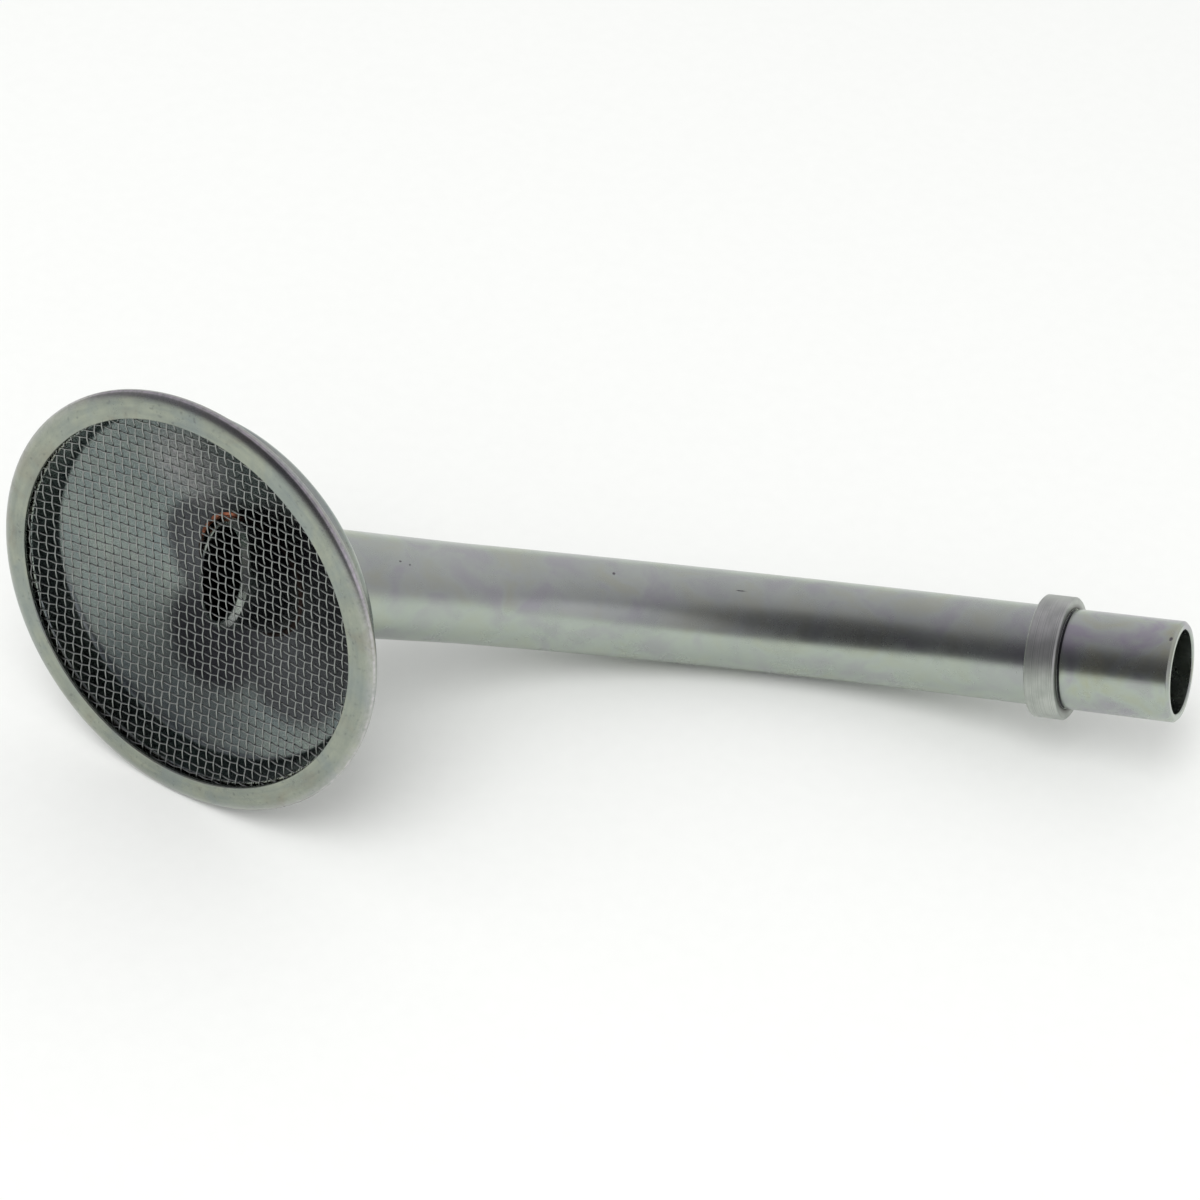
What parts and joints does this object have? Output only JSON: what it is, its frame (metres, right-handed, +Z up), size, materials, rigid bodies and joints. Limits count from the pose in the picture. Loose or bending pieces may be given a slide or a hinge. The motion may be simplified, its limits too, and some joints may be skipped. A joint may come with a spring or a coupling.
{
  "type": "oil pickup tube",
  "caption": "Bent steel suction tube with a press-in spigot and stop collar at one end and a pressed funnel with a wire gauze strainer at the other.",
  "frame": {"origin": "centre of the spigot at the stop collar's shoulder", "axes": "+Z up with the part lying as it comes to rest, +X along its length towards the spigot, +Y away from the strainer's open side"},
  "size_m": [0.2095, 0.0639, 0.0762],
  "materials": {
    "plated_tube": "satin zinc plated",
    "turned_collar": "turned",
    "pressed_sheet": "satin plated sheet",
    "woven_wire": "drawn wire",
    "copper_braze": "as brazed"
  },
  "bodies": {
    "root": {"suction_tube": "plated_tube", "stop_collar": "turned_collar", "strainer_funnel": "pressed_sheet", "strainer_gauze": "woven_wire", "braze_joint": "copper_braze"}
  },
  "joints": []
}
